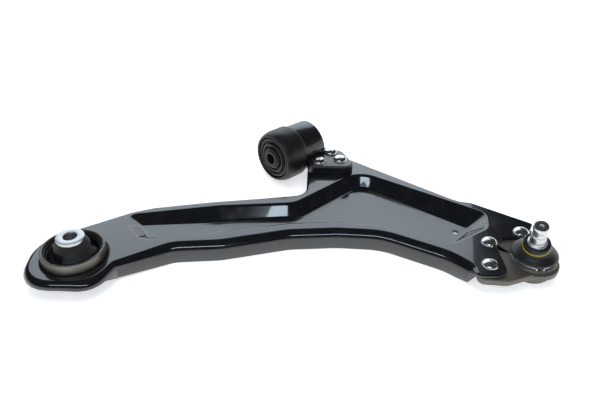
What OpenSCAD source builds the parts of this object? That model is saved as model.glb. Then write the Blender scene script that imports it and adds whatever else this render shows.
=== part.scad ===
// Lower suspension control arm: pressed steel arm with two bushes and a riveted ball joint.
// The origin is on the rear bush axis at the arm's top face. +Z runs up along that bush,
// and +X runs along the arm towards the ball joint.

/* [Pressed arm] */
// Thickness of the pressed sheet
sheet_t = 3.5; // [2.5:0.1:4.5]
// Height of the turned-down flange, from the top face to its lower edge
flange_h = 22; // [19:0.5:30]
// Outer radius of the bend between top face and flange
bend_r = 11; // [6:0.5:14]
// Depth of the pocket floor below the top face
pocket_depth = 15; // [11:0.5:17]
// Radius of the bend around the pocket's rim
pocket_bend_r = 6; // [4:0.5:8]
// Diameter of the drain hole in the pocket floor
drain_d = 9; // [4:0.5:14]
// Height of the skirt around the rear eye
eye_skirt_h = 8; // [5:0.5:14]

/* [Rear bush] */
// Outer diameter of the outer sleeve
rear_sleeve_od = 66; // [58:0.5:74]
// Height that the outer sleeve stands above the arm's top face
rear_sleeve_top = 11; // [6:0.5:16]
// Depth that the outer sleeve reaches below the arm's top face
rear_sleeve_bottom = 17; // [10:0.5:20]
// Outer diameter of the inner sleeve
rear_inner_od = 29; // [24:0.5:34]
// Bore of the inner sleeve
rear_bore_d = 14; // [10:0.5:16]
// Height of the inner sleeve above the arm's top face
rear_inner_top = 25; // [18:0.5:32]
// Width of the flat ring between the bush and the edge of the eye
eye_ring_w = 15; // [12:0.5:20]

/* [Front bush] */
// Centre of the bush along the arm, from the rear bush
front_bush_x = 223; // [210:1:235]
// Centre of the bush across the arm, from the rear bush
front_bush_y = 216; // [206:1:226]
// Height of the bush axis above the arm's top face
front_bush_z = 14; // [13:0.5:24]
// Wall of the moulded cover around the steel sleeve, on the open end
front_cover_wall = 6.5; // [3:0.5:8]
// Length of the moulded cover
front_cover_len = 33; // [24:0.5:40]
// Length of the bracket's eye
front_eye_len = 34; // [26:0.5:42]
// Outer diameter of the steel sleeve pressed in the bracket's eye
front_sleeve_od = 55; // [48:0.5:58]
// Outer diameter of the inner sleeve
front_inner_od = 22; // [18:0.5:26]
// Bore of the inner sleeve
front_bore_d = 14; // [10:0.5:14]

/* [Bracket and rivets] */
// Thickness of the bracket's foot
bracket_t = 11; // [8:0.5:14]
// Shank diameter of every rivet
rivet_d = 10; // [8:0.5:11]
// Head diameter of every rivet
rivet_head_d = 18; // [15:0.5:18]
// Head height of every rivet
rivet_head_h = 5; // [3:0.5:7]

/* [Ball joint] */
// Ball joint centre along the arm, from the rear bush
ball_x = 486; // [478:1:494]
// Ball joint centre across the arm, from the rear bush
ball_y = 9; // [4:1:14]
// Depth of the ball's centre below the arm's top face
ball_drop = 5; // [4:0.5:6]
// Diameter of the ball
ball_d = 26; // [22:0.5:27]
// Thickness of the forged housing's plate
forging_t = 8; // [6:0.5:9]
// Diameter of the housing's cup
cup_d = 46; // [42:0.5:50]
// Diameter of the stud's clamped pin
pin_d = 16; // [14:0.5:18]
// Distance from the ball's centre to the top of the pin
pin_top = 57; // [50:0.5:66]
// Lean of the stud at rest, away from the housing's axis
stud_lean = 16; // [0:1:20]
// Direction that the stud leans to, around the housing's axis
lean_heading = 242; // [0:1:359]

/* [Hidden] */
$fn = 72;
running_gap = 0.05;    // radial gap between a piece that turns and the one around it
free_gap = 0.5;        // gap between moving pieces that never touch
bend_steps = 2;        // slabs that stand for a bend
arc_step = 15;         // degrees per segment of an outline's rounds
over = 1;              // how far a cut runs past the solid
front_yaw = atan2(front_bush_y, front_bush_x);

// Eye: the arm's outline rounds the bush at this radius, and two straight flanks leave it
eye_r = rear_sleeve_od / 2 + eye_ring_w;
far_flank = 34;        // heading of the far flank
near_flank = 70;       // heading of the near flank
collar_lip = 4;        // widening of the collar's mouth
front_cover_d = front_sleeve_od + 2 * front_cover_wall;
// Distance from the front bush axis to the arm's edge beside it
bracket_edge_gap = front_cover_d / 2;
far_edge_y = 124;      // the far edge where the tongue under the bracket leaves it

// A point past the eye's tangent point at an angle, along the flank
function eye_flank_point(angle, run, r) = [
    eye_r * cos(angle) - run * sin(angle), eye_r * sin(angle) + run * cos(angle), r];
// A point at a share of the arm's length
function along(share, y, r) = [share * ball_x, y, r];
// A point given from the ball joint's centre
function from_ball(x, y, r) = [ball_x + x, ball_y + y, r];
// A point given along the front bush axis and to its right
function beside_bush(run, side, r) = [
    front_bush_x + run * cos(front_yaw) + side * sin(front_yaw),
    front_bush_y + run * sin(front_yaw) - side * cos(front_yaw), r];

// Where the rivets stand, in plan
bracket_rivet_at = [beside_bush(10.5, 43.5), beside_bush(34, 59), beside_bush(39.5, 36)];
joint_rivet_at = [from_ball(-41, 24), from_ball(-50, -15), from_ball(0, 44)];
drain_at = from_ball(-66, 65);

// Corners of the arm's outline as [x, y, radius], counterclockwise
arm_outline = [
    [-eye_r, -eye_r, eye_r],
    [eye_r * tan(near_flank / 2), -eye_r, eye_r],
    eye_flank_point(near_flank - 90, 4, 2),
    along(0.206, 17, 25), along(0.31, 22, 60), along(0.463, 43, 60),
    along(0.572, 47.5, 80), along(0.675, 44.5, 60), along(0.813, 8, 60),
    from_ball(-73, -20, 4), from_ball(-65, -33, 8), from_ball(-34, -34, 15),
    from_ball(-34, 34, 34), from_ball(4, 34, 6), from_ball(19, 62, 3),
    from_ball(-40, 108, 20), from_ball(-56, 113, 30),
    beside_bush(59, bracket_edge_gap, 6), beside_bush(-1.5, bracket_edge_gap, 6),
    [front_bush_x + 23, far_edge_y, 22],
    along(0.422, far_edge_y - 3, 40), along(0.267, 111, 60), along(0.128, 96, 50),
    eye_flank_point(far_flank + 90, -80, 20),
    [-eye_r, eye_r * tan((90 - far_flank) / 2), eye_r]];

// Corners of the pocket's rim, counterclockwise
pocket_outline = [
    [eye_r + 13, 29, 16], along(0.284, 37, 50), along(0.35, 50, 50), along(0.463, 62.5, 60),
    along(0.572, 67, 80), along(0.679, 60.5, 50),
    from_ball(-101, 21, 22), from_ball(-78, 22, 20), from_ball(-34, 51, 18),
    from_ball(-28, 83, 12), beside_bush(45, 80, 32),
    [front_bush_x + 3, 112, 25], along(0.288, 101, 50),
    [eye_r - 10, 79, 10], [eye_r - 7, 56, 12]];

// Corners of the bracket's foot and of the housing's plate, counterclockwise
foot_outline = [
    beside_bush(-9, 44, 8), beside_bush(29, 82, 9), beside_bush(41, 76, 8),
    beside_bush(54, 44, 12), beside_bush(45.5, 20.5, 6), beside_bush(7, 22, 0)];
forging_outline = [
    from_ball(-67, -34, 8), from_ball(-36, -37, 14), from_ball(-8, -26, 12),
    from_ball(20, 1, 15), from_ball(17, 59, 13), from_ball(-16, 58, 14),
    from_ball(-54, 29, 12), from_ball(-61, -3, 30)];

// Outline helpers: an inset moves every edge inwards, and a round replaces every corner
function flat(p) = [p[0], p[1]];
function unit(v) = v / norm(v);
function left_of(v) = [-v[1], v[0]];
function turn(u, v) = u[0] * v[1] - u[1] * v[0];
function inset_corner(a, b, c, d) =
    let(u = unit(flat(b) - flat(a)), v = unit(flat(c) - flat(b)),
        n = left_of(u), m = left_of(v),
        p = flat(b) + (n + m) * d / (1 + n * m),
        r = b[2] == 0 ? 0 : max(b[2] - sign(turn(u, v)) * d, 0))
    [p[0], p[1], r];
function inset(corners, d) =
    let(n = len(corners))
    [for (i = [0:n - 1]) inset_corner(corners[(i + n - 1) % n], corners[i], corners[(i + 1) % n], d)];
function round_corner(a, b, c) =
    let(u = unit(flat(b) - flat(a)), v = unit(flat(c) - flat(b)),
        side = sign(turn(u, v)), sweep = acos(min(max(u * v, -1), 1)),
        steps = ceil(sweep / arc_step), start = flat(b) - u * b[2] * tan(sweep / 2),
        centre = start + left_of(u) * side * b[2], arm = start - centre)
    b[2] == 0 ? [flat(b)] :
    [for (k = [0:steps])
        let(t = side * sweep * k / steps)
        centre + [arm[0] * cos(t) - arm[1] * sin(t), arm[0] * sin(t) + arm[1] * cos(t)]];
function rounded(corners) =
    let(n = len(corners))
    [for (i = [0:n - 1]) each round_corner(corners[(i + n - 1) % n], corners[i], corners[(i + 1) % n])];

module slab(corners, z_low, z_high) {
    translate([0, 0, z_low])
        linear_extrude(z_high - z_low)
            polygon(rounded(corners));
}

// A solid with a rounded upper edge: slabs step along the bend, and the last one is the wall
module tray(corners, start, top, r, bottom) {
    for (i = [0:bend_steps - 1]) {
        upper = 90 * i / bend_steps;
        lower = 90 * (i + 1) / bend_steps;
        middle = (upper + lower) / 2;
        slab(inset(corners, start + r * (1 - sin(middle))),
            top - r * (1 - cos(lower)), top - r * (1 - cos(upper)));
    }
    slab(inset(corners, start), bottom, top - r);
}

// The pocket's space: slabs step in along the rim's bend, and the last one reaches the floor
module pocket(start, top, r, bottom) {
    for (i = [0:bend_steps - 1]) {
        upper = 90 * i / bend_steps;
        lower = 90 * (i + 1) / bend_steps;
        middle = (upper + lower) / 2;
        slab(inset(pocket_outline, start + r * sin(middle)),
            top - r * (1 - cos(lower)), top - r * (1 - cos(upper)) + (i == 0 ? over : 0));
    }
    slab(inset(pocket_outline, start + r), bottom, top - r);
}

// Places its children with +Z along the front bush axis, z = 0 at the middle of the bush
module on_front_bush() {
    translate([front_bush_x, front_bush_y, front_bush_z])
        rotate([0, 0, front_yaw])
            rotate([0, 90, 0])
                children();
}

// Places its children with +Z along the leaning stud, z = 0 at the ball's centre
module on_stud() {
    translate([ball_x, ball_y, -ball_drop])
        rotate([0, 0, lean_heading])
            rotate([0, stud_lean, 0])
                children();
}

module on_housing() {
    translate([ball_x, ball_y, 0])
        children();
}

module tube(od, id, low, high) {
    difference() {
        translate([0, 0, low])
            cylinder(d = od, h = high - low);
        translate([0, 0, low - over])
            cylinder(d = id, h = high - low + 2 * over);
    }
}

module rivet_holes(places, low, high) {
    for (p = places)
        translate([p[0], p[1], low])
            cylinder(d = rivet_d + 2 * running_gap, h = high - low);
}

// A domed head on top and a formed flat head below, joined by the shank
module rivets(places, top, bottom) {
    tail_d = rivet_d + 4;
    tail_h = 3;
    dome_r = (rivet_head_d * rivet_head_d / 4 + rivet_head_h * rivet_head_h) / (2 * rivet_head_h);
    for (p = places)
        translate([p[0], p[1], 0])
            union() {
                translate([0, 0, bottom])
                    cylinder(d = rivet_d, h = top - bottom);
                translate([0, 0, bottom - tail_h])
                    cylinder(d1 = tail_d - 2, d2 = tail_d, h = tail_h);
                translate([0, 0, top])
                    intersection() {
                        translate([0, 0, rivet_head_h - dome_r])
                            sphere(r = dome_r);
                        cylinder(d = rivet_head_d, h = rivet_head_h);
                    }
            }
}

// Zones where the arm is flat sheet: the eye, the tongue under the bracket, the ball joint end
eye_zone_x = eye_r - 4;
module flat_zones(z_low, z_high) {
    reach = 400;
    zone_h = z_high - z_low;
    translate([eye_zone_x - reach, -reach / 2, z_low])
        cube([reach, reach, zone_h]);
    translate([front_bush_x, front_bush_y, z_low])
        rotate([0, 0, front_yaw])
            translate([-6, -72, 0])
                cube([68, 42, zone_h]);
    translate([ball_x - 70, ball_y + 67 - reach, z_low])
        cube([reach, reach, zone_h]);
}

module arm_pressing() {
    collar_bottom = -eye_skirt_h - 4;
    color([0.05, 0.05, 0.06])
        difference() {
            union() {
                difference() {
                    tray(arm_outline, 0, 0, bend_r, -flange_h);
                    tray(arm_outline, sheet_t, -sheet_t, bend_r - sheet_t, -flange_h - over);
                    flat_zones(-flange_h - over, over);
                }
                intersection() {
                    slab(arm_outline, -sheet_t, 0);
                    flat_zones(-flange_h, over);
                }
                // Skirt around the eye
                intersection() {
                    difference() {
                        slab(arm_outline, -eye_skirt_h, 0);
                        slab(inset(arm_outline, sheet_t), -eye_skirt_h - over, over);
                    }
                    translate([-eye_r * 2, -eye_r * 2, -flange_h])
                        cube([eye_r * 2 + eye_zone_x, eye_r * 5, flange_h + over]);
                }
                // Collar that grips the rear bush
                tube(rear_sleeve_od + 2 * sheet_t, rear_sleeve_od, collar_bottom, 0);
                // Pocket walls and floor
                pocket(0, -sheet_t, pocket_bend_r - sheet_t, -pocket_depth - sheet_t);
            }
            pocket(0, 0, pocket_bend_r, -pocket_depth);
            translate([0, 0, collar_bottom - over])
                cylinder(d = rear_sleeve_od, h = flange_h + 2 * over);
            translate([0, 0, -collar_lip])
                cylinder(d1 = rear_sleeve_od, d2 = rear_sleeve_od + 2 * collar_lip, h = collar_lip);
            translate([drain_at[0], drain_at[1], -flange_h])
                cylinder(d = drain_d, h = flange_h + over);
            rivet_holes(bracket_rivet_at, -flange_h, over);
            rivet_holes(joint_rivet_at, -flange_h, over);
        }
}

rear_sleeve_id = rear_sleeve_od - 6;
rear_inner_bottom = -flange_h;
module rear_bush_outer_sleeve() {
    color([0.45, 0.42, 0.4])
        tube(rear_sleeve_od, rear_sleeve_id, -rear_sleeve_bottom, rear_sleeve_top);
}

// Rubber cone that falls from the inner sleeve to a moulded rim, with two crescent voids
module rear_bush_rubber() {
    inner_r = rear_inner_od / 2 + running_gap;
    rim_r = rear_sleeve_id / 2;
    rib_w = 3;
    void_in = inner_r + 4;
    void_out = rim_r - rib_w;
    void_half = 42;
    color([0.09, 0.09, 0.1])
        difference() {
            rotate_extrude()
                polygon([
                    [inner_r, -rear_sleeve_bottom], [rim_r, -rear_sleeve_bottom + 2],
                    [rim_r, rear_sleeve_top - 2], [rim_r - rib_w, rear_sleeve_top - 1],
                    [rim_r - rib_w - 2, rear_sleeve_top - 5], [inner_r + 3, rear_inner_top - 5],
                    [inner_r, rear_inner_top - 3]]);
            for (side = [0, 180])
                rotate([0, 0, front_yaw + side - void_half])
                    translate([0, 0, -rear_sleeve_bottom - over])
                        rotate_extrude(angle = 2 * void_half)
                            translate([void_in, 0])
                                square([void_out - void_in, rear_inner_top + rear_sleeve_bottom]);
        }
}

module rear_bush_inner_sleeve() {
    color([0.8, 0.82, 0.83])
        tube(rear_inner_od, rear_bore_d, rear_inner_bottom, rear_inner_top);
}

front_eye_wall = 4;
module front_bracket() {
    color([0.12, 0.12, 0.13])
        difference() {
            union() {
                slab(foot_outline, 0, bracket_t);
                on_front_bush()
                    cylinder(d = front_sleeve_od + 2 * front_eye_wall, h = front_eye_len);
            }
            on_front_bush()
                translate([0, 0, -front_cover_len])
                    cylinder(d = front_sleeve_od, h = 2 * front_cover_len + front_eye_len);
            on_front_bush()
                translate([0, 0, -front_cover_len])
                    cylinder(d = front_cover_d + 2 * free_gap, h = front_cover_len);
            rivet_holes(bracket_rivet_at, -over, bracket_t + over);
            // Spot faces that clear the rivets' heads
            for (p = bracket_rivet_at)
                translate([p[0], p[1], bracket_t])
                    cylinder(d = rivet_head_d + 2 * free_gap, h = front_sleeve_od);
        }
}

front_sleeve_id = front_sleeve_od - 5;
front_sleeve_lead = 14;    // how far the steel sleeve reaches into the cover
module front_bush_outer_sleeve() {
    color([0.3, 0.3, 0.31])
        on_front_bush()
            tube(front_sleeve_od, front_sleeve_id, -front_sleeve_lead, front_eye_len);
}

face_recess = 5;           // how deep the rubber faces lie inside the ends
module front_bush_rubber() {
    color([0.08, 0.08, 0.09])
        on_front_bush()
            tube(front_sleeve_id, front_inner_od + 2 * running_gap, -front_sleeve_lead,
                front_eye_len - face_recess);
}

// Moulded cover: a thick shell with a rounded shoulder, open at its face
cover_mouth_d = front_sleeve_od - 3;
module front_bush_cover() {
    shoulder = 7;
    cover_r = front_cover_d / 2;
    color([0.1, 0.1, 0.11])
        on_front_bush()
            difference() {
                rotate_extrude()
                    union() {
                        translate([0, -front_cover_len + shoulder])
                            square([cover_r, front_cover_len - shoulder]);
                        translate([0, -front_cover_len])
                            square([cover_r - shoulder, shoulder]);
                        translate([cover_r - shoulder, -front_cover_len + shoulder])
                            circle(r = shoulder);
                    }
                translate([0, 0, -front_cover_len - over])
                    cylinder(d = cover_mouth_d, h = front_cover_len - front_sleeve_lead + over);
                translate([0, 0, -front_sleeve_lead])
                    cylinder(d = front_sleeve_od, h = front_sleeve_lead + over);
            }
}

// Ridged rubber diaphragm in the open end
module front_bush_bellows() {
    inner_r = front_inner_od / 2 + running_gap;
    ridges = 3;
    pitch = (cover_mouth_d / 2 - inner_r) / ridges;
    ridge_h = 1.5;
    back = -front_sleeve_lead;
    face = -front_cover_len + 3;
    color([0.13, 0.13, 0.14])
        on_front_bush()
            rotate_extrude()
                union() {
                    translate([inner_r, face])
                        square([cover_mouth_d / 2 - inner_r, back - face]);
                    for (i = [0:ridges - 1])
                        translate([inner_r + pitch * (i + 0.2), face - ridge_h])
                            square([pitch * 0.6, ridge_h]);
                }
}

module front_bush_rear_seal() {
    color([0.09, 0.09, 0.1])
        on_front_bush()
            tube(front_sleeve_id, front_inner_od + 2 * running_gap, front_eye_len - face_recess,
                front_eye_len - 1);
}

front_inner_proud = 3;     // how far the inner sleeve stands out at each end
module front_bush_inner_sleeve() {
    color([0.35, 0.35, 0.36])
        on_front_bush()
            tube(front_inner_od, front_bore_d, -front_cover_len - front_inner_proud,
                front_eye_len + front_inner_proud);
}

module bracket_rivets() {
    color([0.85, 0.86, 0.88])
        rivets(bracket_rivet_at, bracket_t, -sheet_t);
}

// Ball joint, measured from the arm's top face down to the closed end of the cup
race_wall = 2.5;
race_floor = 1;
race_d = ball_d + 2 * race_wall;
preload_t = 1;
cap_t = 2;
cap_d = race_d + 4;
race_bottom = -ball_drop - ball_d / 2 - race_floor;
cap_top = race_bottom - preload_t;
cup_bottom = cap_top - cap_t;
cup_rim = 2;               // height of the cup's rim above the arm's top face
race_top = 0;
lip_w = 0.8;               // ledge above the race that holds it in
cup_foot_wall = 0.5;       // the cup's wall round the end cap

module ball_joint_housing() {
    chamfer = 6;
    color([0.43, 0.41, 0.39])
        difference() {
            union() {
                slab(forging_outline, -sheet_t - forging_t, -sheet_t);
                on_housing() {
                    translate([0, 0, cup_bottom + chamfer])
                        cylinder(d = cup_d, h = -cup_bottom - chamfer);
                    translate([0, 0, cup_bottom])
                        cylinder(d1 = cap_d + 2 * cup_foot_wall, d2 = cup_d, h = chamfer);
                    cylinder(d = cup_d - 6, h = cup_rim);
                }
            }
            on_housing() {
                translate([0, 0, race_bottom - over])
                    cylinder(d = race_d, h = race_top - race_bottom + over);
                translate([0, 0, cup_bottom - over])
                    cylinder(d = cap_d, h = race_bottom - cup_bottom + over);
                translate([0, 0, race_top - over])
                    cylinder(d = race_d - 2 * lip_w, h = cup_rim + 2 * over);
            }
            rivet_holes(joint_rivet_at, -flange_h, 0);
        }
}

module ball_joint_end_cap() {
    color([0.5, 0.48, 0.45])
        on_housing()
            translate([0, 0, cup_bottom])
                cylinder(d = cap_d, h = cap_t);
}

module ball_joint_preload_ring() {
    color([0.25, 0.25, 0.26])
        on_housing()
            tube(cap_d, race_d - 12, cap_top, race_bottom);
}

// Bearing shell around the ball, open at the top for the neck
module ball_race() {
    color([0.85, 0.83, 0.76])
        on_housing()
            difference() {
                translate([0, 0, race_bottom + running_gap])
                    cylinder(d = race_d - 2 * running_gap,
                        h = race_top - race_bottom - 2 * running_gap);
                translate([0, 0, -ball_drop])
                    sphere(d = ball_d + 2 * running_gap);
            }
}

// Stud heights along its own axis, from the ball's centre
neck_d = 14;
neck_ring_low = 25;
neck_ring_h = 6;
collar_d = 20;
collar_h = 4;
pin_foot = neck_ring_low + neck_ring_h + collar_h - 2;
groove_w = 8;
groove_depth = 1;
module ball_stud() {
    groove_low = pin_foot + (pin_top - pin_foot) * 0.45;
    tip = 1;
    color([0.78, 0.79, 0.8])
        on_stud()
            difference() {
                union() {
                    sphere(d = ball_d);
                    cylinder(d = neck_d, h = neck_ring_low);
                    translate([0, 0, ball_d / 2 + 4])
                        cylinder(d1 = neck_d, d2 = collar_d, h = neck_ring_low - ball_d / 2 - 4);
                    translate([0, 0, neck_ring_low])
                        cylinder(d = collar_d, h = neck_ring_h + collar_h - 2);
                    translate([0, 0, pin_foot])
                        cylinder(d = pin_d, h = pin_top - pin_foot - tip);
                    translate([0, 0, pin_top - tip])
                        cylinder(d1 = pin_d, d2 = pin_d - 2 * tip, h = tip);
                }
                translate([0, 0, groove_low])
                    tube(pin_d + 2 * over, pin_d - 2 * groove_depth, 0, groove_w);
                // Centre-drilled hole in the pin's end
                translate([0, 0, pin_top - 2])
                    cylinder(d1 = 1, d2 = 4, h = 2 + 0.01);
            }
}

// Boot: a bulged shell from the cup's rim up to just under the leaning neck ring
boot_wall = 2;
neck_ring_od = 28;
module dust_boot() {
    seat_r = cup_d / 2 - 2;
    bulge_r = cup_d / 2 + 1.5;
    low = cup_rim;
    high = neck_ring_low * cos(stud_lean) - neck_ring_od / 2 * sin(stud_lean) - ball_drop - free_gap;
    color([0.07, 0.07, 0.08])
        on_housing()
            rotate_extrude()
                polygon([
                    [seat_r - boot_wall, low], [seat_r, low], [bulge_r, low + 3],
                    [bulge_r, low + 6], [bulge_r - 4, high], [bulge_r - 4 - boot_wall, high],
                    [bulge_r - boot_wall, low + 6], [bulge_r - boot_wall, low + 4]]);
}

// Wire clip that holds the boot on the cup: an open ring with two ends bent outwards
clip_wire_d = 2;
clip_heading = 268;
clip_opening = 12;
module boot_lower_clip() {
    clip_r = cup_d / 2 - 3 + clip_wire_d / 2;
    tail_d = clip_wire_d - 0.2;
    tail = 3;
    inset_angle = 3;
    color([0.75, 0.76, 0.78])
        on_housing()
            translate([0, 0, clip_wire_d / 2])
                rotate([0, 0, clip_heading + clip_opening / 2]) {
                    rotate_extrude(angle = 360 - clip_opening)
                        translate([clip_r, 0])
                            circle(d = clip_wire_d, $fn = 24);
                    for (turn_by = [inset_angle, -clip_opening - inset_angle])
                        rotate([0, 0, turn_by])
                            translate([clip_r, 0, 0])
                                rotate([0, 90, 0])
                                    cylinder(d = tail_d, h = tail, $fn = 24);
                }
}

module boot_neck_ring() {
    color([0.08, 0.08, 0.09])
        on_stud()
            tube(neck_ring_od, collar_d + 2 * running_gap, neck_ring_low + 1.5,
                neck_ring_low + neck_ring_h);
}

module boot_marker_ring() {
    color([0.9, 0.82, 0.2])
        on_stud()
            tube(neck_ring_od + 0.6, collar_d + 2, neck_ring_low, neck_ring_low + 1.5);
}

module ball_joint_rivets() {
    color([0.85, 0.86, 0.88])
        rivets(joint_rivet_at, 0, -sheet_t - forging_t);
}

arm_pressing();
rear_bush_outer_sleeve();
rear_bush_rubber();
rear_bush_inner_sleeve();
front_bracket();
front_bush_outer_sleeve();
front_bush_rubber();
front_bush_cover();
front_bush_bellows();
front_bush_rear_seal();
front_bush_inner_sleeve();
bracket_rivets();
ball_joint_housing();
ball_joint_end_cap();
ball_joint_preload_ring();
ball_race();
ball_stud();
dust_boot();
boot_lower_clip();
boot_neck_ring();
boot_marker_ring();
ball_joint_rivets();
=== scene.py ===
import math

import bmesh
import bpy
from mathutils import Matrix, Vector
from mathutils.geometry import delaunay_2d_cdt


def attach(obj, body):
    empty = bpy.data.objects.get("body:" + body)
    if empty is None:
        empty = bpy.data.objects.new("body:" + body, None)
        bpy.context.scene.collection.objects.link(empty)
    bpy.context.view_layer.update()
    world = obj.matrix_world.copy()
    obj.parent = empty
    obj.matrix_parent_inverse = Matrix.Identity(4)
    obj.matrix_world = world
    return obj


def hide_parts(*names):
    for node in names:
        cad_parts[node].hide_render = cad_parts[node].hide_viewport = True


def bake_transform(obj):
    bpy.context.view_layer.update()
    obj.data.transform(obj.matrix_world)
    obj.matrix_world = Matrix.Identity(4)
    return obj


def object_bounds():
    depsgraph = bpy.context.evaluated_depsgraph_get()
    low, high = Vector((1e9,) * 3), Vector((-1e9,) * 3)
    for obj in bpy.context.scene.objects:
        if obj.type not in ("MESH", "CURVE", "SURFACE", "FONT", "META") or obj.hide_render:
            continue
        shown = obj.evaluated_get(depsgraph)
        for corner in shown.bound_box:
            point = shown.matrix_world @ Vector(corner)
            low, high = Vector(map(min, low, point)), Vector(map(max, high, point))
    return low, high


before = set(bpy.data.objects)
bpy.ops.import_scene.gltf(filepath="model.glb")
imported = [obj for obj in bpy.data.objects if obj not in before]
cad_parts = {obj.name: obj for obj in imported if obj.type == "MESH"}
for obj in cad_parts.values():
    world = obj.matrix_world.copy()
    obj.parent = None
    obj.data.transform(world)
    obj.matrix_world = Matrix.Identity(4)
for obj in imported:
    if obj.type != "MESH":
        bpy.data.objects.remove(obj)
cad_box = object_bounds()

# Studio: the arm lies on a white sweep under a wide pale screen behind it, a narrow strip lamp
# above the camera that draws the thin lines along the bends, and a soft lamp overhead.
MM = 0.001
floor_z = cad_box[0][2] - 0.2 * MM
sweep_radius = 3.0
sweep_height = 0.75
camera_at = Vector((0.2365, -0.4964, 0.3914))
camera_pitch = math.radians(32.66)
camera_roll = 0.0144
lens_mm = 35.89
sensor_mm = 36.0


class Sum:
    """One output of a material's node, so that sums on it can be written as expressions."""

    def __init__(self, finish, socket):
        self.finish = finish
        self.socket = socket

    def maths(self, operation, *values, clamp=False):
        settings = {"operation": operation, "use_clamp": clamp}
        return self.finish.node("ShaderNodeMath", settings, dict(enumerate(values)))

    def __add__(self, other):
        return self.maths("ADD", self, other)

    __radd__ = __add__

    def __mul__(self, other):
        return self.maths("MULTIPLY", self, other)

    __rmul__ = __mul__

    def __sub__(self, other):
        return self.maths("SUBTRACT", self, other)

    def __rsub__(self, other):
        return self.maths("SUBTRACT", other, self)

    def __truediv__(self, other):
        return self.maths("DIVIDE", self, other)

    def between(self, low, high):
        """0 below low, 1 above high, and a smooth step from one to the other."""
        settings = {"interpolation_type": "SMOOTHSTEP"}
        links = {"Value": self, "From Min": low, "From Max": high}
        return self.finish.node("ShaderNodeMapRange", settings, links)


class Finish:
    """A material that is built node by node around its Principled shader."""

    def __init__(self, name, **sockets):
        self.material = bpy.data.materials.new(name)
        self.material.use_nodes = True
        self.tree = self.material.node_tree
        self.shader = self.tree.nodes["Principled BSDF"]
        for socket, value in sockets.items():
            self.feed(self.shader.inputs[socket.replace("_", " ")], value)

    def feed(self, socket, value):
        if isinstance(value, Sum):
            self.tree.links.new(value.socket, socket)
        else:
            socket.default_value = value

    def node(self, kind, settings=None, links=None, output=0):
        made = self.tree.nodes.new(kind)
        for name, value in (settings or {}).items():
            setattr(made, name, value)
        for name, value in (links or {}).items():
            self.feed(made.inputs[name], value)
        return Sum(self, made.outputs[output])

    def set(self, **sockets):
        for socket, value in sockets.items():
            self.feed(self.shader.inputs[socket.replace("_", " ")], value)

    def place(self):
        return self.node("ShaderNodeTexCoord", output="Object")

    def noise(self, scale, detail=3.0, roughness=0.55, at=None, seed=0.0):
        where = at or self.place()
        settings = {"noise_dimensions": "4D"}
        links = {"Vector": where, "Scale": scale, "Detail": detail, "Roughness": roughness, "W": seed}
        return self.node("ShaderNodeTexNoise", settings, links)

    def mix(self, factor, first, second):
        """A colour that goes from first to second as factor goes from 0 to 1."""
        made = self.tree.nodes.new("ShaderNodeMix")
        made.data_type = "RGBA"
        self.feed(made.inputs[0], factor)
        self.feed(made.inputs[6], first)
        self.feed(made.inputs[7], second)
        return Sum(self, made.outputs[2])

    def bump(self, height, strength, distance):
        links = {"Height": height, "Strength": strength, "Distance": distance}
        return self.node("ShaderNodeBump", None, links)


def sweep():
    """The floor and its raised rim, one surface of revolution."""
    bm = bmesh.new()
    rise = 0.6
    section = [(0.0, 0.0), (sweep_radius - rise, 0.0)]
    for step in range(1, 9):
        angle = math.radians(90 * step / 8)
        section.append((sweep_radius - rise + rise * math.sin(angle), rise * (1 - math.cos(angle))))
    section.append((sweep_radius, sweep_height))
    verts = [bm.verts.new((r, 0, floor_z + h)) for r, h in section]
    edges = [bm.edges.new(pair) for pair in zip(verts, verts[1:])]
    bmesh.ops.spin(bm, geom=verts + edges, cent=(0, 0, 0), axis=(0, 0, 1), dvec=(0, 0, 0),
                   angle=math.tau, steps=96, use_merge=True)
    bmesh.ops.remove_doubles(bm, verts=bm.verts, dist=1e-6)
    bmesh.ops.recalc_face_normals(bm, faces=bm.faces)
    mesh = bpy.data.meshes.new("sweep")
    bm.to_mesh(mesh)
    bm.free()
    mesh.shade_smooth()
    made = bpy.data.objects.new("sweep", mesh)
    bpy.context.scene.collection.objects.link(made)
    return made


white = Finish("white_sweep", Roughness=0.9, Specular_IOR_Level=0.0)
paths = white.tree.nodes.new("ShaderNodeLightPath")
seen = Sum(white, paths.outputs["Is Camera Ray"])
mirrored = Sum(white, paths.outputs["Is Glossy Ray"])
passed = Sum(white, paths.outputs["Is Transmission Ray"])
shown = seen.maths("MAXIMUM", seen, seen.maths("MAXIMUM", mirrored, passed))
fleck = white.noise(6.0, 2.0)
white.set(Base_Color=white.mix(fleck * 0.3, (0.78, 0.78, 0.78, 1), (0.80, 0.80, 0.80, 1)))
white.set(Emission_Color=(0.97, 0.985, 1.0, 1.0), Emission_Strength=shown * 0.62)
floor = sweep()
floor.data.materials.append(white.material)

lens = bpy.data.cameras.new("camera")
lens.lens = lens_mm
lens.sensor_width = sensor_mm
lens.clip_start = 0.01
camera = bpy.data.objects.new("camera", lens)
turned_down = Matrix.Rotation(math.pi / 2 - camera_pitch, 4, "X")
camera.matrix_world = Matrix.Translation(camera_at) @ turned_down @ Matrix.Rotation(camera_roll, 4, "Z")
bpy.context.scene.collection.objects.link(camera)
bpy.context.scene.camera = camera
bpy.context.scene.view_settings.view_transform = "Standard"

world = bpy.data.worlds.new("room")
world.use_nodes = True
world.node_tree.nodes["Background"].inputs["Color"].default_value = (0.9, 0.95, 1.0, 1.0)
world.node_tree.nodes["Background"].inputs["Strength"].default_value = 0.035
bpy.context.scene.world = world


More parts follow.
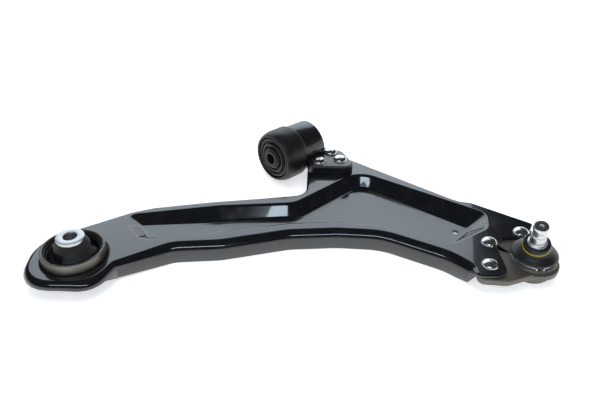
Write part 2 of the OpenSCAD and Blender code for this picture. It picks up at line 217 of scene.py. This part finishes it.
def soft_lamp(name, at, aim, size, watts, colour, in_mirrors=True):
    lamp = bpy.data.lights.new(name, "AREA")
    lamp.shape = "RECTANGLE"
    lamp.size, lamp.size_y = size
    lamp.energy = watts
    lamp.color = colour
    made = bpy.data.objects.new(name, lamp)
    made.location = at
    made.rotation_euler = (Vector(aim) - Vector(at)).to_track_quat("-Z", "Y").to_euler()
    made.visible_glossy = in_mirrors
    made.visible_camera = False
    bpy.context.scene.collection.objects.link(made)
    return made


middle = Vector((0.24, 0.08, 0.0))
soft_lamp("back_screen", (-0.03, 1.75, 1.02), (0.24, 0.05, 0.1), (2.15, 1.15), 13.5, (0.80, 0.90, 1.0))
soft_lamp("strip", (-0.02, -0.85, 1.02), (0.15, 0.05, 0.0), (1.15, 0.10), 3.6, (0.72, 0.86, 1.0))
soft_lamp("overhead", (0.24, 0.0, 2.0), middle, (1.8, 1.8), 26.0, (1.0, 0.99, 0.97), in_mirrors=False)
soft_lamp("front_fill", (0.5, -1.6, 0.9), middle, (1.2, 0.8), 7.0, (1.0, 0.99, 0.98), in_mirrors=False)


# Pressed arm: one sheet of steel, blanked, drawn into a shallow pan with a deep pocket in its top
# and a flange all round, then dipped in glossy black paint.
sheet = 3.5
flange_depth = 22.0
rim_bend = 6.0
pocket_depth = 15.0
eye_inner = 33.1
eye_mouth = 37.0
arc_steps = 6
straight_steps = 5

# outline corners, anticlockwise: x, y, corner radius, bend radius, depth of the edge
arm_corners = [
    (-48, -48, 48, 7, 8), (33.6, -48, 48, 8, 8), (47, -13.5, 4, 7, 19),
    (100, 17, 30, 11, 22), (151, 22, 70, 11, 22), (225, 43, 70, 11, 22),
    (278, 47.5, 90, 11, 22), (328, 44.5, 70, 11, 22), (395, 8, 70, 11, 22),
    (413, -11, 6, 10, 20), (421, -24, 8, 1.2, 3.6), (452, -25, 15, 1.2, 3.6),
    (452, 43, 34, 1.2, 3.6), (490, 43, 6, 1.2, 3.6), (505, 71, 3, 1.2, 3.6),
    (446, 117, 20, 6, 12), (430, 122, 30, 8, 20), (289, 232.6, 6, 4, 22),
    (245.6, 190.5, 6, 4, 22), (244, 127, 18, 2, 22), (205, 121.5, 40, 4, 22),
    (130, 111, 60, 6, 22), (62, 96, 50, 6, 22), (39.5, 84.5, 20, 4, 18),
    (-48, 25.5, 48, 4, 8),
]
# pocket corners: x, y, corner radius, run of the wall, depth of the floor
pocket_corners = [
    (61, 29, 16, 15, 7), (138, 37, 50, 12, 12), (170, 50, 50, 12, 15), (225, 62.5, 60, 12, 15),
    (278, 67, 80, 12, 15), (330, 60.5, 50, 12, 15), (385, 30, 22, 12, 15), (408, 31, 20, 14, 15),
    (452, 60, 20, 24, 15), (458, 92, 16, 24, 15), (312, 189, 32, 15, 15), (229, 110, 25, 16, 15),
    (140, 101, 50, 18, 14), (38, 79, 10, 18, 7), (41, 56, 12, 18, 7),
]


def corner_frames(corners):
    """For each corner its place, its edges' directions and the way an inset moves it."""
    frames = []
    for index, corner in enumerate(corners):
        here = Vector(corner[:2])
        back = here - Vector(corners[index - 1][:2])
        ahead = Vector(corners[(index + 1) % len(corners)][:2]) - here
        u, v = back.normalized(), ahead.normalized()
        n, m = Vector((-u.y, u.x)), Vector((-v.y, v.x))
        frames.append((here, (n + m) / (1 + n.dot(m))))
    return frames


def rounded_loop(corners, insets, heights):
    """Points of a closed loop: each corner moved in by its inset and rounded, at its height."""
    frames = corner_frames(corners)
    moved = [here + inwards * inset for (here, inwards), inset in zip(frames, insets)]
    count = len(corners)
    arcs = []
    for index in range(count):
        here = moved[index]
        back, ahead = here - moved[index - 1], moved[(index + 1) % count] - here
        u, v = back.normalized(), ahead.normalized()
        side = 1.0 if u.x * v.y - u.y * v.x >= 0 else -1.0
        sweep_angle = max(u.angle(v), 0.001)
        radius = max(corners[index][2] - side * insets[index], min(corners[index][2], 4.0))
        reach = radius * math.tan(sweep_angle / 2)
        reach = min(reach, 0.48 * back.length, 0.48 * ahead.length)
        radius = reach / math.tan(sweep_angle / 2)
        start = here - u * reach
        centre = start + Vector((-u.y, u.x)) * side * radius
        arm = start - centre
        arc = []
        for step in range(arc_steps + 1):
            turned_by = Matrix.Rotation(side * sweep_angle * step / arc_steps, 2)
            arc.append((centre + turned_by @ arm).to_3d() + Vector((0, 0, heights[index])))
        arcs.append(arc)
    points = []
    for index in range(count):
        points += arcs[index]
        after = arcs[(index + 1) % count][0]
        for step in range(1, straight_steps):
            points.append(arcs[index][-1].lerp(after, step / straight_steps))
    return points


def add_loop(bm, points):
    verts = [bm.verts.new(p * MM) for p in points]
    return [bm.edges.new(pair) for pair in zip(verts, verts[1:] + verts[:1])]


def bridge(bm, loops):
    """Joins loops that have as many edges each by rings of quads."""
    for one, other in zip(loops, loops[1:]):
        for first, second in zip(one, other):
            bm.faces.new((*first.verts, second.verts[1], second.verts[0]))


def piece(name, bm, finish, body, nodes=(), sharp=35.0):
    """Makes a finished piece of a bmesh, hangs it on its body's empty and hides the CAD parts it stands in for."""
    mesh = bpy.data.meshes.new(name)
    bm.to_mesh(mesh)
    bm.free()
    mesh.shade_smooth()
    mesh.set_sharp_from_angle(angle=math.radians(sharp))
    mesh.materials.append(finish.material)
    made = bpy.data.objects.new(name, mesh)
    bpy.context.scene.collection.objects.link(made)
    if body:
        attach(made, body)
    if nodes:
        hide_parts(*nodes)
    return made


def circle_points(x, y, radius, height, steps=96):
    return [Vector((x + radius * math.cos(math.tau * k / steps),
                    y + radius * math.sin(math.tau * k / steps), height)) for k in range(steps)]


def outer_skin(corners):
    """Loops from the flat top, over the bend, down the flange and back up inside to the underside."""
    bends = [c[3] for c in corners]
    depths = [c[4] for c in corners]
    loops = [([b + 0.4 for b in bends], [0.0] * len(corners))]
    for step in range(0, 9):
        angle = math.radians(90 * step / 8)
        loops.append(([b * (1 - math.sin(angle)) for b in bends],
                      [-b * (1 - math.cos(angle)) for b in bends]))
    loops.append(([0.0] * len(corners), [-max(d - 0.9, b) for b, d in zip(bends, depths)]))
    loops.append(([0.3] * len(corners), [-(d - 0.3) for d in depths]))
    loops.append(([1.0] * len(corners), [-d for d in depths]))
    loops.append(([sheet - 1.0] * len(corners), [-d for d in depths]))
    loops.append(([sheet - 0.3] * len(corners), [-(d - 0.3) for d in depths]))
    inner = [min(max(b - sheet, 0.0), d - sheet) if d > 4 else 0.0 for b, d in zip(bends, depths)]
    for step in range(4, -1, -1):
        angle = math.radians(90 * step / 4)
        loops.append(([sheet + r * (1 - math.sin(angle)) for r in inner],
                      [-sheet - r * (1 - math.cos(angle)) for r in inner]))
    loops.append(([max(b, sheet) + 0.4 for b in bends], [-sheet] * len(corners)))
    return [rounded_loop(corners, insets, heights) for insets, heights in loops]


def pocket_skin(corners, lift, start, bend, floor_bend):
    """Loops from the flat, over the rim's bend, down the sloping wall and onto the pocket's floor."""
    loops = [([start - 0.4] * len(corners), [lift] * len(corners))]
    slopes = [math.atan2(c[4], c[3] - 0.25 * (bend + floor_bend)) for c in corners]
    for step in range(0, 7):
        share = step / 6
        loops.append(([start + bend * math.sin(a * share) for a in slopes],
                      [lift - bend * (1 - math.cos(a * share)) for a in slopes]))
    for step in range(6, -1, -1):
        share = step / 6
        loops.append(([c[3] + start - floor_bend * math.sin(a * share) for c, a in zip(corners, slopes)],
                      [lift - c[4] + floor_bend * (1 - math.cos(a * share))
                       for c, a in zip(corners, slopes)]))
    return [rounded_loop(corners, insets, heights) for insets, heights in loops]


def fill_flat(bm, *loops):
    """Fills the flat between loops of edges at one height: the first bounds it, the rest are holes."""
    edges = [edge for loop in loops for edge in loop]
    verts = list(dict.fromkeys(vert for edge in edges for vert in edge.verts))
    index = {vert: k for k, vert in enumerate(verts)}
    pairs = [(index[edge.verts[0]], index[edge.verts[1]]) for edge in edges]
    flat = [vert.co.xy / MM for vert in verts]
    places, _, triangles, origins, _, _ = delaunay_2d_cdt(flat, pairs, [], 0, 1e-5)
    for triangle in triangles:
        middle = sum((places[k] for k in triangle), Vector((0, 0))) / 3
        inside = False
        for one, other in pairs:
            a, b = flat[one], flat[other]
            if (a.y > middle.y) != (b.y > middle.y):
                if middle.x < a.x + (b.x - a.x) * (middle.y - a.y) / (b.y - a.y):
                    inside = not inside
        if inside:
            bm.faces.new([verts[origins[k][0]] for k in triangle])


drain_at, drain_radius = (418.5, 73), 4.0
bracket_rivets_at = [(260.8, 192.1), (288.5, 197.3), (276.4, 217.6)]
joint_rivets_at = [(445, 33), (436, -6), (486, 53)]

pressing = bmesh.new()
rim_loops = [add_loop(pressing, points) for points in outer_skin(arm_corners)]
bridge(pressing, rim_loops)
top_pocket = [add_loop(pressing, points) for points in pocket_skin(pocket_corners, 0.0, 0.0, rim_bend, 7.0)]
bridge(pressing, top_pocket)
low_pocket = [add_loop(pressing, points)
              for points in pocket_skin(pocket_corners, -sheet, -0.5, rim_bend + 1.0, 6.0)]
bridge(pressing, low_pocket)
eye_section = [(eye_mouth + 0.4, 0.0), (eye_mouth, 0.0)]
for step in range(1, 7):
    angle = math.radians(90 * step / 6)
    eye_section.append((eye_inner + (eye_mouth - eye_inner) * (1 - math.sin(angle)),
                        -(eye_mouth - eye_inner) * (1 - math.cos(angle))))
eye_section += [(eye_inner, -11.5), (eye_inner + 0.5, -12.0), (eye_inner + 2.6, -12.0),
                (eye_inner + 3.1, -11.5), (eye_inner + 3.2, -5.0), (eye_mouth + 0.6, -sheet)]
eye_loops = [add_loop(pressing, circle_points(0, 0, r, h)) for r, h in eye_section]
bridge(pressing, eye_loops)
fill_flat(pressing, rim_loops[0], top_pocket[0], eye_loops[0])
fill_flat(pressing, rim_loops[-1], low_pocket[0], eye_loops[-1])
drain_top = add_loop(pressing, circle_points(*drain_at, drain_radius, -pocket_depth, 32))
drain_low = add_loop(pressing, circle_points(*drain_at, drain_radius, -pocket_depth - sheet, 32))
bridge(pressing, [drain_top, drain_low])
fill_flat(pressing, top_pocket[-1], drain_top)
fill_flat(pressing, low_pocket[-1], drain_low)
bmesh.ops.remove_doubles(pressing, verts=pressing.verts, dist=1e-5)
bmesh.ops.recalc_face_normals(pressing, faces=pressing.faces)

paint = Finish("gloss_black_paint", Base_Color=(0.006, 0.007, 0.009, 1), Roughness=0.2,
               Coat_Weight=1.0, Coat_Roughness=0.03)
peel = paint.noise(220.0, 2.0)
waves = paint.noise(14.0, 1.0, seed=2.0)
dust = paint.noise(60.0, 4.0, seed=5.0).between(0.45, 0.75)
paint.set(Base_Color=paint.mix(dust * 0.5, (0.005, 0.006, 0.008, 1), (0.012, 0.013, 0.015, 1)),
          Roughness=dust * 0.10 + 0.16)
soft_waves = paint.bump(waves, 0.10, 0.002)
grain = paint.tree.nodes.new("ShaderNodeBump")
paint.feed(grain.inputs["Height"], peel)
paint.feed(grain.inputs["Strength"], 0.05)
paint.feed(grain.inputs["Distance"], 0.0004)
paint.feed(grain.inputs["Normal"], soft_waves)
paint.set(Normal=Sum(paint, grain.outputs[0]))
piece("pressed_arm", pressing, paint, "arm", ["arm_pressing"], sharp=40.0)


# Rear bush: a thick bare steel sleeve pressed into the eye, a moulded rubber with two crescent
# voids in line with the front bush, and a plain inner sleeve that stands proud of it.
def turned(section, steps=96, smooth=4):
    """A turned solid: corners (radius, height, round) of its half section spun about Z, in mm."""
    bm = bmesh.new()
    corners = [bm.verts.new((c[0] * MM, 0, c[1] * MM)) for c in section]
    bm.faces.new(corners)
    for corner, spec in zip(corners, section):
        if spec[2]:
            bmesh.ops.bevel(bm, geom=[corner], offset=spec[2] * MM, offset_type="OFFSET",
                            affect="VERTICES", segments=smooth, profile=0.5, material=-1)
    bmesh.ops.delete(bm, geom=list(bm.faces), context="FACES_ONLY")
    on_axis = [e for e in bm.edges if max(abs(v.co.x) for v in e.verts) < 1e-7]
    bmesh.ops.delete(bm, geom=on_axis, context="EDGES")
    bmesh.ops.spin(bm, geom=list(bm.verts) + list(bm.edges), cent=(0, 0, 0), axis=(0, 0, 1),
                   dvec=(0, 0, 0), angle=math.tau, steps=steps, use_merge=True)
    bmesh.ops.remove_doubles(bm, verts=bm.verts, dist=1e-7)
    bmesh.ops.recalc_face_normals(bm, faces=bm.faces)
    return bm


def smooth_step(value, low, high):
    share = min(max((value - low) / (high - low), 0.0), 1.0)
    return share * share * (3 - 2 * share)


bare_steel = Finish("bare_sleeve_steel", Metallic=1.0)
streaks = bare_steel.noise(90.0, 4.0)
stain = bare_steel.noise(25.0, 3.0, seed=3.0)
bare_steel.set(Base_Color=bare_steel.mix(stain, (0.20, 0.185, 0.165, 1), (0.34, 0.32, 0.29, 1)),
               Roughness=streaks * 0.25 + 0.36,
               Normal=bare_steel.bump(streaks, 0.15, 0.0004))
bright_steel = Finish("machined_steel", Metallic=1.0)
rings = bright_steel.noise(180.0, 3.0)
bright_steel.set(Base_Color=bright_steel.mix(rings, (0.66, 0.66, 0.65, 1), (0.80, 0.80, 0.79, 1)),
                 Roughness=rings * 0.15 + 0.28, Normal=bright_steel.bump(rings, 0.08, 0.0003))
rubber = Finish("moulded_rubber", Specular_IOR_Level=0.4)
bloom = rubber.noise(70.0, 4.0)
rubber.set(Base_Color=rubber.mix(bloom, (0.006, 0.006, 0.007, 1), (0.020, 0.020, 0.022, 1)),
           Roughness=bloom * 0.25 + 0.36, Normal=rubber.bump(rubber.noise(400.0, 3.0), 0.2, 0.0003))

rear_shell = turned([(30.05, -17, 0.8), (32.95, -17, 0.9), (32.95, 11, 0.9), (30.05, 11, 1.2)])
piece("rear_bush_shell", rear_shell, bare_steel, "arm", ["rear_bush_outer_sleeve"])

swing_line = math.atan2(216, 223)
rear_rubber = turned([
    (14.6, -16, 1.0), (27.5, -10, 3.0), (30.0, -13, 0.6), (30.0, 8.8, 0.5), (28.4, 8.4, 0.6),
    (27.6, 5.4, 0.8), (26.6, 5.6, 0.6), (25.6, 8.8, 0.8), (24.0, 10.0, 0.8), (22.0, 11.4, 0.6),
    (20.0, 12.8, 0.6), (18.4, 14.6, 0.6), (16.8, 18.0, 0.8), (15.6, 20.8, 0.6), (14.6, 21.4, 0.3)],
    steps=180, smooth=3)
for vert in rear_rubber.verts:
    radius = vert.co.xy.length / MM
    if vert.co.z > 2 * MM and radius > 16.5:
        away = math.atan2(vert.co.y, vert.co.x) - swing_line
        half_turn = abs(math.remainder(away, math.pi))
        in_void = 1 - smooth_step(half_turn, math.radians(34), math.radians(40))
        across = smooth_step(radius, 18.5, 20.0) * (1 - smooth_step(radius, 25.8, 26.8))
        vert.co.z -= 11 * MM * in_void * across
piece("rear_bush_body", rear_rubber, rubber, "arm", ["rear_bush_rubber"], sharp=50.0)

rear_tube = turned([(7.0, -22, 0.8), (14.5, -22, 0.8), (14.5, 25, 0.9), (7.0, 25, 0.9)])
piece("rear_bush_tube", rear_tube, bright_steel, "rear_sleeve", ["rear_bush_inner_sleeve"])

# Front bush: a rubber bush that lies along the arm's swing axis. A moulded cover with a rounded
# shoulder caps its free end, and bellows ridges close the cover round the bolt hole.
front_at = Vector((223, 216, 14))
to_front = (Matrix.Translation(front_at * MM) @ Matrix.Rotation(swing_line, 4, "Z")
            @ Matrix.Rotation(math.pi / 2, 4, "Y"))


def placed(bm, matrix):
    bmesh.ops.transform(bm, matrix=matrix, verts=bm.verts)
    return bm


def dress(node, finish):
    """A CAD piece that keeps its shape takes a finish."""
    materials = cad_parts[node].data.materials
    if len(materials) == 0:
        materials.append(finish.material)
    for slot in range(len(materials)):
        materials[slot] = finish.material


cover_rubber = Finish("cover_rubber", Specular_IOR_Level=0.5)
mottled = cover_rubber.noise(60.0, 4.0)
cover_rubber.set(Base_Color=cover_rubber.mix(mottled, (0.006, 0.006, 0.007, 1), (0.018, 0.018, 0.020, 1)),
                 Roughness=mottled * 0.2 + 0.26,
                 Normal=cover_rubber.bump(cover_rubber.noise(350.0, 3.0), 0.15, 0.0003))

cover = turned([(27.6, 1.5, 0.3), (27.6, -31, 0.5), (28.6, -32.6, 0.8), (30.5, -32.6, 1.2), (34, -27, 6.0),
                (34, -1.5, 1.5), (33, 0, 0.8), (31.6, 1.5, 0.5)])
piece("front_cover", placed(cover, to_front), cover_rubber, "arm", ["front_bush_cover"])

bellows = turned([(8.0, -20, 0.5), (27.4, -20, 0.5), (27.4, -29.5, 0.8), (25.5, -31.5, 1.0), (23.4, -31.5, 1.0),
                  (22.0, -28.5, 0.7), (20.6, -28.5, 0.7), (19.2, -33.0, 0.9), (17.0, -33.0, 0.9),
                  (15.8, -29.5, 0.6), (14.6, -29.5, 0.6), (13.2, -35.0, 0.8), (11.2, -35.0, 0.8),
                  (9.8, -31.5, 0.5), (8.0, -31.5, 0.5)], steps=120)
piece("front_bellows", placed(bellows, to_front), cover_rubber, "arm", ["front_bush_bellows"])

bolt_tube = turned([(7.0, -36, 0.4), (11.0, -36, 0.8), (11.0, 37, 0.8), (7.0, 37, 0.4)])
dark_steel = Finish("phosphated_steel", Metallic=0.9)
soot = dark_steel.noise(120.0, 4.0)
dark_steel.set(Base_Color=dark_steel.mix(soot, (0.03, 0.03, 0.032, 1), (0.07, 0.07, 0.072, 1)),
               Roughness=soot * 0.2 + 0.4, Normal=dark_steel.bump(soot, 0.1, 0.0003))
piece("front_bolt_tube", placed(bolt_tube, to_front), dark_steel, "front_sleeve",
      ["front_bush_inner_sleeve"])
dress("front_bush_outer_sleeve", dark_steel)
dress("front_bush_rubber", rubber)
rear_seal = turned([(11.3, 29, 0.5), (24.9, 29, 0.3), (24.9, 33, 0.8), (22.0, 33, 0.8), (19.5, 31, 0.8),
                    (16.5, 31, 0.8), (14.0, 34.5, 0.8), (11.3, 34.5, 0.6)])
piece("front_rear_seal", placed(rear_seal, to_front), rubber, "arm", ["front_bush_rear_seal"])

# Bracket: a thick foot with a housing for the front bush, painted black like the arm and held on
# the arm's tongue by three rivets.
foot_corners = [(247.1, 178.1, 8), (300.9, 177.3, 9), (305.3, 189.9, 8), (292.4, 222, 12),
                (269.9, 232.9, 6), (243.3, 205.1, 3)]


def plate(corners, low, high, top_round, low_round, steps=5):
    """A flat plate with its outline's corners rounded and its upper and lower edges eased."""
    bm = bmesh.new()
    count = len(corners)
    levels = [(low_round * (1 - math.sin(math.radians(90 * k / steps))),
               low + low_round * (1 - math.cos(math.radians(90 * k / steps)))) for k in range(steps + 1)]
    levels += [(top_round * (1 - math.cos(math.radians(90 * k / steps))),
                high - top_round * (1 - math.sin(math.radians(90 * k / steps)))) for k in range(steps + 1)]
    loops = [add_loop(bm, rounded_loop(corners, [inset] * count, [height] * count))
             for inset, height in levels]
    bridge(bm, loops)
    fill_flat(bm, loops[0])
    fill_flat(bm, loops[-1])
    bmesh.ops.remove_doubles(bm, verts=bm.verts, dist=1e-6)
    bmesh.ops.recalc_face_normals(bm, faces=bm.faces)
    return bm


def joined(*parts):
    whole = bmesh.new()
    for part in parts:
        spare = bpy.data.meshes.new("spare")
        part.to_mesh(spare)
        part.free()
        whole.from_mesh(spare)
        bpy.data.meshes.remove(spare)
    return whole


bracket_paint = Finish("bracket_paint", Coat_Weight=0.8, Coat_Roughness=0.08)
cast_skin = bracket_paint.noise(150.0, 3.0)
bracket_paint.set(Base_Color=bracket_paint.mix(cast_skin, (0.005, 0.005, 0.006, 1), (0.011, 0.011, 0.012, 1)),
                  Roughness=cast_skin * 0.15 + 0.25,
                  Normal=bracket_paint.bump(cast_skin, 0.12, 0.0004))
housing = turned([(27.6, 0.6, 0.4), (31.4, 0.6, 0.8), (31.4, 34, 1.5), (27.6, 34, 0.8)])
bracket = joined(plate(foot_corners, 0.05, 11.0, 2.2, 1.0), placed(housing, to_front))
piece("front_bush_bracket", bracket, bracket_paint, "arm", ["front_bracket"])

# Rivets: zinc plated steel, domed on top and formed flat underneath. Three hold the bracket and
# three hold the ball joint.
zinc = Finish("bright_zinc", Metallic=1.0)
plating = zinc.noise(140.0, 3.0)
zinc.set(Base_Color=zinc.mix(plating, (0.78, 0.79, 0.80, 1), (0.90, 0.91, 0.92, 1)),
         Roughness=plating * 0.12 + 0.16, Normal=zinc.bump(zinc.noise(260.0, 2.0), 0.10, 0.0003))


def rivet(x, y, top, under):
    head = [(9.0, top, 0.25), (9.0, top + 0.7, 0.3), (8.4, top + 2.0, 0.5), (6.9, top + 3.5, 0.9),
            (5.2, top + 4.4, 0.9), (4.2, top + 4.55, 0.5), (2.2, top + 5.0, 0.6), (0, top + 5.0, 0)]
    tail = [(0, under - 2.8, 0), (5.8, under - 2.8, 0.8), (6.9, under - 1.4, 0.8), (6.9, under, 0.2),
            (4.9, under, 0.2), (4.9, top, 0.2)]
    return placed(turned(tail + head, 48), Matrix.Translation(Vector((x, y, 0)) * MM))


bracket_rivets = joined(*[rivet(x, y, 11.0, -3.5) for x, y in bracket_rivets_at])
piece("bracket_rivet_set", bracket_rivets, zinc, "arm", ["bracket_rivets"], sharp=60.0)
joint_rivets = joined(*[rivet(x, y, 0.0, -11.5) for x, y in joint_rivets_at])
piece("joint_rivet_set", joint_rivets, zinc, "arm", ["ball_joint_rivets"], sharp=60.0)

# Ball joint housing: one bare forging, a plate riveted under the arm's end and a cup that holds
# the bearing shell. A pressed cap closes the cup from below.
forging_corners = [(419, -25, 8), (450, -28, 14), (478, -17, 12), (506, 10, 15), (503, 68, 13),
                   (470, 67, 14), (432, 38, 12), (425, 6, 30)]
joint_at = Vector((486, 9, 0))
to_joint = Matrix.Translation(joint_at * MM)
forged = Finish("bare_forging", Metallic=0.75)
scale_skin = forged.noise(260.0, 5.0, 0.65)
tarnish = forged.noise(30.0, 3.0, seed=4.0)
forged.set(Base_Color=forged.mix(tarnish, (0.13, 0.12, 0.11, 1), (0.25, 0.235, 0.215, 1)),
           Roughness=scale_skin * 0.25 + 0.38, Normal=forged.bump(scale_skin, 0.35, 0.0005))
cup = turned([(17.6, -22, 0.3), (18.6, -22, 1.0), (23, -16.5, 3.4), (23, -1.2, 0.9), (20.3, 0.2, 0.5),
              (20.3, 2, 0.4), (14.8, 2, 0.3), (14.8, 0, 0.2), (15.6, 0, 0.2), (15.6, -19, 0.2), (17.6, -19, 0.2)])
neck = turned([(22.0, -14.5, 0.4), (23.2, -12.5, 1.2), (27.5, -10.8, 0.5), (27.5, -5.0, 0.6), (24.0, -3.6, 1.5),
               (22.9, -1.0, 0.8), (22.0, -1.0, 0.3)])
forging = joined(plate(forging_corners, -11.5, -3.5, 1.6, 2.6), placed(cup, to_joint), placed(neck, to_joint))
piece("ball_joint_forging", forging, forged, "arm", ["ball_joint_housing"])
dress("ball_joint_end_cap", forged)
dress("ball_joint_preload_ring", dark_steel)

# Bearing shell and stud: the ball turns in an acetal shell, and the pin above the boot is ground
# bright, with a groove for the clamp bolt and a centre hole from turning.
shell_plastic = Finish("acetal_shell", Specular_IOR_Level=0.5)
flow = shell_plastic.noise(50.0, 2.0)
shell_plastic.set(Base_Color=shell_plastic.mix(flow, (0.70, 0.67, 0.58, 1), (0.78, 0.75, 0.66, 1)),
                  Roughness=flow * 0.1 + 0.35)
dress("ball_race", shell_plastic)
stud_foot = Vector((486, 9, -5))
to_stud = (Matrix.Translation(stud_foot * MM) @ Matrix.Rotation(math.radians(242), 4, "Z")
           @ Matrix.Rotation(math.radians(16), 4, "Y"))
ball_section = [(13 * math.sin(math.radians(a)), -13 * math.cos(math.radians(a)), 0) for a in range(0, 144, 12)]
stud = turned(ball_section + [
    (7.0, 11.6, 0.4), (7.0, 17, 1.0), (9.8, 24, 1.0), (10, 25.4, 0.3), (10, 32.2, 0.7), (8.4, 33.0, 0.3),
    (8.0, 34.4, 0.3), (8.0, 43.4, 0.3), (7.1, 44.4, 0.5), (7.1, 50.6, 0.5), (8.0, 51.8, 0.4),
    (8.0, 54.4, 0.5), (7.3, 56.9, 0.5), (2.4, 57.0, 0.15), (1.5, 55.4, 0.2), (0, 54.8, 0)], steps=96)
ground = Finish("ground_stud", Metallic=1.0)
turning = ground.noise(150.0, 3.0)
ground.set(Base_Color=ground.mix(turning, (0.60, 0.61, 0.61, 1), (0.78, 0.79, 0.80, 1)),
           Roughness=turning * 0.15 + 0.24, Normal=ground.bump(turning, 0.08, 0.0003))
piece("joint_stud", placed(stud, to_stud), ground, "stud", ["ball_stud"])

# Dust boot: a thin rubber bellows from the cup's rim up to the stud's neck, held below by a wire
# clip and above by a moulded ring with a yellow line round it.
boot_rubber = Finish("boot_rubber", Specular_IOR_Level=0.5)
fine = boot_rubber.noise(90.0, 3.0)
boot_rubber.set(Base_Color=boot_rubber.mix(fine, (0.008, 0.008, 0.009, 1), (0.018, 0.018, 0.020, 1)),
                Roughness=fine * 0.15 + 0.30, Normal=boot_rubber.bump(boot_rubber.noise(380.0, 3.0), 0.12, 0.0003))
boot_low = Vector((486, 9, 1.6))
boot_high = to_stud @ Vector((0, 0, 25.6 * MM)) / MM
upright = Vector((0, 0, 1))
leaning = (to_stud.to_3x3() @ upright).normalized()
# share of the way up, radius
boot_shape = [(0.0, 20.6), (0.02, 21.8), (0.06, 22.2), (0.10, 22.2), (0.14, 23.2), (0.20, 24.4), (0.27, 24.6),
              (0.34, 24.2), (0.44, 22.6), (0.56, 20.2), (0.68, 17.8), (0.80, 15.7), (0.90, 14.4), (1.0, 13.6)]


def boot_ring(share, radius):
    centre = boot_low.lerp(boot_high, share)
    tilt = upright.lerp(leaning, smooth_step(share, 0.1, 1.0)).normalized()
    turn = upright.rotation_difference(tilt)
    return [centre + turn @ Vector((radius * math.cos(math.tau * k / 96), radius * math.sin(math.tau * k / 96), 0))
            for k in range(96)]


boot = bmesh.new()
boot_wall = 1.5
skins = [boot_ring(share, radius) for share, radius in boot_shape]
skins += [boot_ring(share, radius - boot_wall) for share, radius in reversed(boot_shape)]
boot_loops = [add_loop(boot, points) for points in skins]
bridge(boot, boot_loops)
bridge(boot, [boot_loops[-1], boot_loops[0]])
bmesh.ops.recalc_face_normals(boot, faces=boot.faces)
boot_piece = piece("joint_boot", boot, boot_rubber, None, ["dust_boot"], sharp=60.0)
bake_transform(boot_piece)

neck_ring = turned([(10.3, 25.2, 0.3), (13.4, 25.2, 0.5), (14.0, 26.4, 0.5), (14.0, 30.0, 0.8), (13.0, 31.0, 0.6),
                    (11.0, 31.0, 0.5), (10.3, 30.4, 0.3)])
piece("boot_collar", placed(neck_ring, to_stud), boot_rubber, "neck", ["boot_neck_ring"])
yellow = Finish("yellow_ring", Specular_IOR_Level=0.4)
faded = yellow.noise(80.0, 2.0)
yellow.set(Base_Color=yellow.mix(faded, (0.72, 0.52, 0.02, 1), (0.85, 0.66, 0.04, 1)), Roughness=faded * 0.1 + 0.4)
marker = turned([(13.6, 25.0, 0.1), (14.3, 25.0, 0.3), (14.3, 26.2, 0.3), (13.6, 26.2, 0.1)])
piece("boot_marker", placed(marker, to_stud), yellow, "neck", ["boot_marker_ring"])
wire = Finish("spring_wire", Metallic=1.0)
drawn = wire.noise(200.0, 2.0)
wire.set(Base_Color=wire.mix(drawn, (0.60, 0.61, 0.63, 1), (0.80, 0.81, 0.82, 1)), Roughness=drawn * 0.15 + 0.2)
dress("boot_lower_clip", wire)
